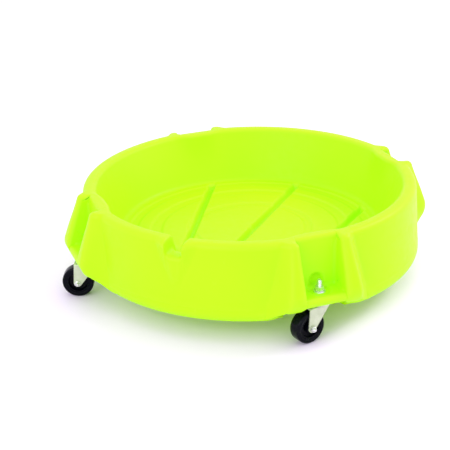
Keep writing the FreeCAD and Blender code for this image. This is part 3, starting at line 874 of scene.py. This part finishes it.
def curvature(mesh, shape):
    """Marks the tray's outward bends as worn, and paints shade into its inward bends and drains, each from 0
    to 1.
    """
    count, rows = shape
    places = np.empty(len(mesh.vertices) * 3)
    mesh.vertices.foreach_get("co", places)
    normals = np.empty(len(mesh.vertices) * 3)
    mesh.vertices.foreach_get("normal", normals)
    grid = places.reshape(-1, 3)[:count * rows].reshape(count, rows, 3) / MM
    across = normals.reshape(-1, 3)[:count * rows].reshape(count, rows, 3)
    bend = np.zeros((count, rows))
    for axis in (0, 1):
        before, after = np.roll(grid, 1, axis), np.roll(grid, -1, axis)
        ahead, behind = np.linalg.norm(after - grid, axis=-1), np.linalg.norm(grid - before, axis=-1)
        bulge = ((2 * grid - before - after) * across).sum(-1) / np.maximum(ahead * behind, BEND_LEAST_SPAN)
        if axis == 1:
            bulge[:, 0] = bulge[:, -1] = 0.0
        near = np.minimum(ahead, behind)
        bend += np.clip(bulge, -BEND_MOST, BEND_MOST) * np.clip(near / BEND_FULL_SPAN, 0.0, 1.0)
    for turn in range(BEND_SMOOTHING):
        around_it = sum(np.roll(bend, step, axis) for axis in (0, 1) for step in (-1, 1)) / 4
        bend = (bend + around_it) / 2
    for name, values in (("worn", bend / BEND_WORN), ("hollow", -bend / BEND_PAINTED_SHADE)):
        layer = mesh.attributes.new(name, "FLOAT", "POINT")
        whole = np.zeros(len(mesh.vertices))
        whole[:count * rows] = soft_step(values).ravel()
        # The painted shade also fills the drains in full, standing for the shadow in them.
        if name == "hollow":
            x, y, z = places.reshape(-1, 3).T / MM
            sunk = floor_depth(x, y) - GROOVE_DEPTH
            on_floor = np.abs(z - FLOOR_Z) < DRAIN_DEPTH + 1.0
            drain_shade = soft_step(sunk / (DRAIN_DEPTH - GROOVE_DEPTH))
            whole = np.maximum(whole, np.where(on_floor, drain_shade, 0.0))
        layer.data.foreach_set("value", whole)


mesh, grid_shape = tray_mesh()
curvature(mesh, grid_shape)
tray = bpy.data.objects.new("tray_shell", mesh)
bpy.context.scene.collection.objects.link(tray)
tray.data.materials.append(tray_material())
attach(tray, "root")
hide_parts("tray")

finishes = {
    "zinc_steel": zinc_material("zinc_steel", ZINC_PALE, ZINC_DULL, 0.45, 0.36, 260.0),
    "bearing_steel": zinc_material("bearing_steel", BEARING_PALE, BEARING_DULL, 1.0, 0.16, 900.0),
    "fastener_steel": zinc_material("fastener_steel", FASTENER_PALE, FASTENER_DULL, 0.85, 0.24, 700.0),
    "wheel_plastic": black_material("wheel_plastic", PLASTIC_DEEP, PLASTIC_DUSTY, 0.20, 700.0, BLACK_COAT),
    "wheel_rubber": black_material("wheel_rubber", RUBBER_DEEP, RUBBER_DUSTY, 0.22, 500.0, BLACK_COAT),
}
for part in frame["record"]["subparts"]:
    finish = finishes.get(part["material_slot"])
    if finish:
        for place in frame["nodes"][part["node"]].material_slots:
            place.link = "OBJECT"
            place.material = finish


# ---- turned and threaded pieces ----
def mesh_from(name, points, faces):
    """A smooth mesh from points in millimetres."""
    mesh = bpy.data.meshes.new(name)
    mesh.from_pydata([[c * MM for c in point] for point in points], [], faces)
    mesh.polygons.foreach_set("use_smooth", np.ones(len(mesh.polygons), bool))
    mesh.update()
    return mesh


def rows_joined(rows):
    """Points and faces of rings of equal count joined one after another, with both ends closed."""
    count = len(rows[0])
    points = [point for row in rows for point in row]
    faces = []
    for start in range(0, (len(rows) - 1) * count, count):
        for step in range(count):
            after = (step + 1) % count
            faces.append((start + step, start + after, start + count + after, start + count + step))
    faces.append(tuple(reversed(range(count))))
    faces.append(tuple(range(len(points) - count, len(points))))
    return points, faces


def circle(radius, level, steps=STEPS_ROUND):
    """A ring of points about the Z axis."""
    turns = [2 * math.pi * step / steps for step in range(steps)]
    return [(radius * math.cos(t), radius * math.sin(t), level) for t in turns]


def lathed(outline):
    """Rings through (radius, level) from the bottom up."""
    return rows_joined([circle(radius, level) for radius, level in outline])


def rows_looped(rows):
    """Points and faces of rings of equal count joined one after another, and the last to the first."""
    points = [point for row in rows for point in row]
    count = len(rows[0])
    faces = []
    for low in range(0, len(points), count):
        high = (low + count) % len(points)
        for step in range(count):
            after = (step + 1) % count
            faces.append((low + step, low + after, high + after, high + step))
    return points, faces


def tube(outline):
    """A turned piece with a bore, through a closed outline of (radius, level)."""
    return rows_looped([circle(radius, level) for radius, level in outline])


def threaded(radius, low, high, pitch, depth, foot):
    """A threaded rod that stands on a plain foot."""
    rows = [circle(radius, foot), circle(radius, low - THREAD_START)]
    for level in np.arange(low, high - pitch, pitch / THREAD_ROWS):
        row = []
        for x, y, z in circle(1.0, level):
            turn = math.atan2(y, x) / (2 * math.pi)
            saw = abs(((level / pitch - turn) % 1.0) * 2 - 1)
            row.append((x * (radius - depth * saw), y * (radius - depth * saw), z))
        rows.append(row)
    rows += [circle(radius - depth, high - pitch * THREAD_RUN_OUT), circle(radius - 2 * depth, high)]
    return rows_joined(rows)


def hexagonal(flats, low, high, bore):
    """A hexagon nut or bolt head with chamfered corners. A bore of nought is a solid head."""
    def at(radius_of, level_of):
        ring = []
        for x, y, z in circle(1.0, 0.0):
            turn = math.degrees(math.atan2(y, x)) % 60 - 30
            corner = flats / 2 / math.cos(math.radians(turn))
            radius = radius_of(corner)
            ring.append((x * radius, y * radius, level_of(corner)))
        return ring

    face = flats / 2 * HEX_FACE
    rows = [
        at(lambda c: face, lambda c: low),
        at(lambda c: c, lambda c: low + (c - face) * HEX_DROP),
        at(lambda c: c, lambda c: high - (c - face) * HEX_DROP),
        at(lambda c: face, lambda c: high),
    ]
    if bore:
        rows += [circle(bore + BORE_CHAMFER, high), circle(bore, high - BORE_CHAMFER), circle(bore, low)]
        return rows_looped(rows)
    return rows_joined(rows)


def joined(parts):
    """Several (points, faces) as one."""
    points, faces = [], []
    for own_points, own_faces in parts:
        start = len(points)
        points += own_points
        faces += [tuple(index + start for index in face) for face in own_faces]
    return points, faces


def moved(part, matrix):
    """A (points, faces) pair carried by a matrix in millimetres."""
    points, faces = part
    return [tuple(matrix @ Vector(point)) for point in points], faces


def add_piece(name, part, body, finish, nodes):
    """A new piece that rides on a body in place of CAD nodes."""
    piece = bpy.data.objects.new(name, mesh_from(name, *part))
    bpy.context.scene.collection.objects.link(piece)
    piece.data.materials.append(finish)
    piece.data.set_sharp_from_angle(angle=math.radians(SHARP_EDGE))
    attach(piece, body)
    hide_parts(*nodes)
    return piece


def facing(axis, place):
    """A matrix that stands the Z axis along a direction, at a place in millimetres."""
    turn = Vector((0, 0, 1)).rotation_difference(Vector(axis)).to_matrix().to_4x4()
    return Matrix.Translation(place) @ turn


# ---- casters: each piece is drawn about the Z axis, then stood on its wheel's axle or at its stem, a trail's length from the axle ----
def tyre_part():
    """The tyre: a flat tread, round shoulders and a raised ring on each side."""
    half = TYRE_HALF
    side = [(27.0, half - 1.6), (27.8, half - 0.6), (30.8, half)]
    side += [(31.5, half - 0.8), (32.6, half - 0.8), (33.1, half - 0.1)]
    middle = (WHEEL_RADIUS - TYRE_SHOULDER, half - TYRE_SHOULDER)
    for turn in range(84, -1, -14):
        t = math.radians(turn)
        side.append((middle[0] + TYRE_SHOULDER * math.cos(t), middle[1] + TYRE_SHOULDER * math.sin(t)))
    return tube([(radius, -level) for radius, level in side] + side[::-1])


def core_part():
    """The wheel's centre: rim, stepped web and hub."""
    hub = [(6.05, 16.0), (11.2, 16.0), (12.0, 15.2)]
    web = [(12.7, 5.4), (13.6, 4.2), (15.8, 4.0), (16.4, 5.6), (18.6, 5.6), (19.2, 4.0), (21.2, 4.2)]
    rim = [(22.4, 5.4), (22.9, 12.4), (23.8, 13.4), (26.2, 13.4), (27.0, 12.9)]
    side = hub + web + rim
    return tube(side + [(radius, -level) for radius, level in side[::-1]])


def stem_part():
    """A threaded stem with its riveted foot."""
    foot = [(1.0, 73.5), (5.0, 73.7), (8.0, 74.9), (9.0, 76.8)]
    rod = threaded(STEM_RADIUS, NUT_SEAT + WASHER_SHEET, STEM_TOP, STEM_PITCH, STEM_THREAD, foot[-1][1])
    return joined([lathed(foot), rod])


def bolt_part():
    """The axle bolt: a chamfered head, a plain shank and a threaded end."""
    head = hexagonal(BOLT_FLATS, -FORK_OUTER - BOLT_HEAD, -FORK_OUTER, 0.0)
    start = FORK_OUTER + BOLT_SHANK_PAST
    return joined([head, threaded(BOLT_RADIUS, start, BOLT_END, BOLT_PITCH, BOLT_THREAD, -FORK_OUTER)])


def axle_nut_part():
    """The lock nut on the axle bolt, with its round collar."""
    top, bore = FORK_OUTER + LOCK_NUT_HEIGHT, LOCK_NUT_BORE
    ring = [(bore, top), (6.0, top), (6.0, top + 1.2), (5.2, top + 2.0), (4.5, top + 2.0), (bore, top + 1.6)]
    return joined([hexagonal(BOLT_FLATS, FORK_OUTER, top, bore), tube(ring)])


def washer_part():
    """A flat washer with its stamped edge rounded on top."""
    low, high = NUT_SEAT, NUT_SEAT + WASHER_SHEET
    under = [(6.5, low), (13.8, low), (14.0, low + 0.5)]
    over = [(14.0, high - 0.9), (13.2, high), (7.0, high), (6.5, high - 0.5)]
    return tube(under + over)


rubber, plastic = finishes["wheel_rubber"], finishes["wheel_plastic"]
fastener = finishes["fastener_steel"]
stands = []
for joint in frame["joints"]:
    if joint["parent"] == "root":
        continue
    caster = joint["name"].removesuffix("_wheel_roll")
    axle = Vector(joint["pos_m"]) / MM
    out = Vector(joint["axis"])
    trail = Vector((out.y, -out.x, 0.0))
    stand = Matrix.Translation((axle.x - trail.x * TRAIL, axle.y - trail.y * TRAIL, 0.0))
    stands.append(stand)
    on_axle = facing(out, axle)
    swivel, wheel = caster + "_swivel", caster + "_wheel"
    pieces = (
        ("_tyre_ring", tyre_part(), on_axle, wheel, "wheel_rubber", rubber, "_tyre"),
        ("_wheel_centre", core_part(), on_axle, wheel, "wheel_plastic", plastic, "_wheel_core"),
        ("_bolt", bolt_part(), on_axle, swivel, "fastener_steel", fastener, "_axle_bolt"),
        ("_lock_nut", axle_nut_part(), on_axle, swivel, "fastener_steel", fastener, "_axle_nut"),
        ("_threaded_stem", stem_part(), stand, "root", "zinc_steel", fastener, "_stem"),
    )
    for name, part, place, body, slot, finish, cad in pieces:
        add_piece(caster + name, moved(part, place), body, finish, [caster + cad])
nut_foot = NUT_SEAT + WASHER_SHEET
nut = hexagonal(NUT_FLATS, nut_foot, nut_foot + NUT_HEIGHT, STEM_RADIUS + 0.05)
nuts = joined([moved(nut, stand) for stand in stands])
add_piece("nut_set", nuts, "root", fastener, ["stem_nuts"])
washers = joined([moved(washer_part(), stand) for stand in stands])
add_piece("washer_set", washers, "root", fastener, ["stem_washers"])

# ---- camera, floor and light ----
AZIMUTH, ELEVATION, DISTANCE = 23.7, 20.977, 2.73
PAN, TILT, ROLL = 1.399, -2.319, -1.768
LENS = 88.56
AIM = Vector((0.0, 0.0, 0.230))


def add_camera():
    """The camera, aimed at the middle of the rim and then turned a little off it."""
    a, e = math.radians(AZIMUTH), math.radians(ELEVATION)
    away = Vector((math.sin(a) * math.cos(e), -math.cos(a) * math.cos(e), math.sin(e)))
    forward = -away
    right = forward.cross(Vector((0, 0, 1))).normalized()
    pan = Matrix.Rotation(math.radians(PAN), 3, "Z")
    forward, right = pan @ forward, pan @ right
    tilt = Matrix.Rotation(math.radians(TILT), 3, right)
    forward = tilt @ forward
    up = right.cross(forward)
    roll = math.radians(ROLL)
    across = right * math.cos(roll) + up * math.sin(roll)
    upright = up * math.cos(roll) - right * math.sin(roll)
    camera = bpy.data.objects.new("camera", bpy.data.cameras.new("camera"))
    bpy.context.scene.collection.objects.link(camera)
    turn = Matrix((across, upright, -forward)).transposed()
    camera.matrix_world = Matrix.Translation(AIM + away * DISTANCE) @ turn.to_4x4()
    camera.data.lens = LENS
    camera.data.sensor_width = 36.0
    bpy.context.scene.camera = camera


def add_area(name, place, aim, size, power, colour):
    """A soft rectangular light."""
    data = bpy.data.lights.new(name, "AREA")
    data.shape = "RECTANGLE"
    data.size, data.size_y = size
    data.energy = power
    data.color = colour
    light = bpy.data.objects.new(name, data)
    light.location = place
    light.rotation_euler = (Vector(aim) - Vector(place)).to_track_quat("-Z", "Y").to_euler()
    bpy.context.scene.collection.objects.link(light)


def around(right, back, up):
    """A place named by how far it lies to the right of the view, behind the part and up."""
    a = math.radians(AZIMUTH)
    return (right * math.cos(a) - back * math.sin(a), right * math.sin(a) + back * math.cos(a), up)


def add_floor():
    """A plain pale floor."""
    grid = bmesh.new()
    bmesh.ops.create_grid(grid, x_segments=8, y_segments=8, size=14.0)
    data = bpy.data.meshes.new("floor")
    grid.to_mesh(data)
    grid.free()
    floor = bpy.data.objects.new("floor", data)
    bpy.context.scene.collection.objects.link(floor)
    material, tree, shader = new_material("floor")
    grain = noise(tree, 40.0, 3.0)
    tree.links.new(mix(tree, grain, FLOOR_PALE, FLOOR_PALER), shader.inputs["Base Color"])
    shader.inputs["Roughness"].default_value = 0.8
    floor.data.materials.append(material)


add_camera()
add_floor()
add_area("key", around(2.6, 0.7, 2.1), (0, 0, 0.1), (1.1, 1.1), 46.0, (1.0, 0.99, 0.98))
add_area("fill", around(-1.7, -2.5, 1.7), (0, 0, 0.15), (2.2, 1.6), 30.0, (0.98, 0.99, 1.0))
add_area("top", around(0.2, 0.3, 3.4), (0, 0, 0), (3.0, 3.0), 12.0, (1.0, 1.0, 1.0))
world = bpy.data.worlds.new("world")
bpy.context.scene.world = world
world.use_nodes = True
world.node_tree.nodes["Background"].inputs["Color"].default_value = SKY
world.node_tree.nodes["Background"].inputs["Strength"].default_value = SKY_STRENGTH
bpy.context.scene.view_settings.view_transform = "Standard"
